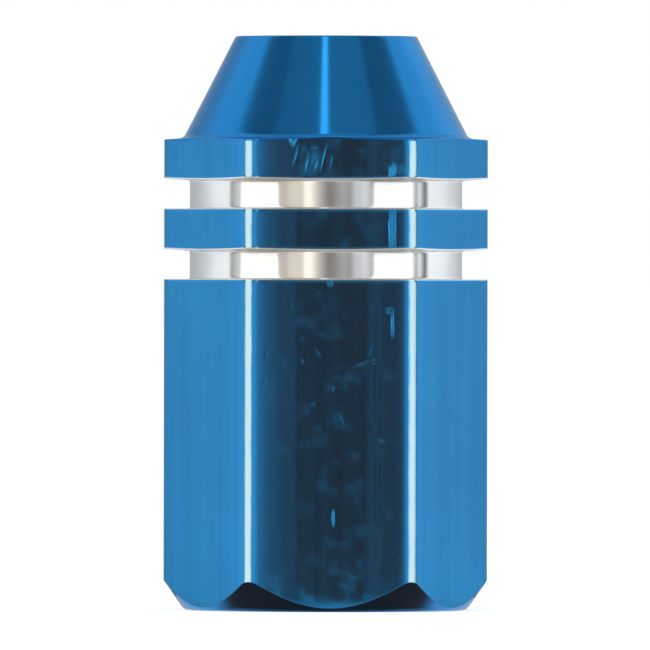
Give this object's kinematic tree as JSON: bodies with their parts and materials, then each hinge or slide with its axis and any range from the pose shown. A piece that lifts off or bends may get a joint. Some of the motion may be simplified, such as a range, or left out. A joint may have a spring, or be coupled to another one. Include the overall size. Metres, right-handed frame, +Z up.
{
  "type": "tyre valve cap",
  "caption": "Long hexagon tyre valve cap with a tapered end, two turned grooves, a blind threaded bore and a rubber seal ring.",
  "frame": {"origin": "centre of the mouth's rim plane, on the axis", "axes": "+Z up the axis from the mouth to the flat end of the cone; one flat faces -Y; two corners lie over the X axis"},
  "size_m": [0.0114, 0.01, 0.02],
  "materials": {
    "anodised_aluminium": "bright blue anodised, with bare turned grooves",
    "seal_rubber": "matt moulded rubber"
  },
  "bodies": {
    "root": {"cap_body": "anodised_aluminium", "seal_ring": "seal_rubber"}
  },
  "joints": []
}
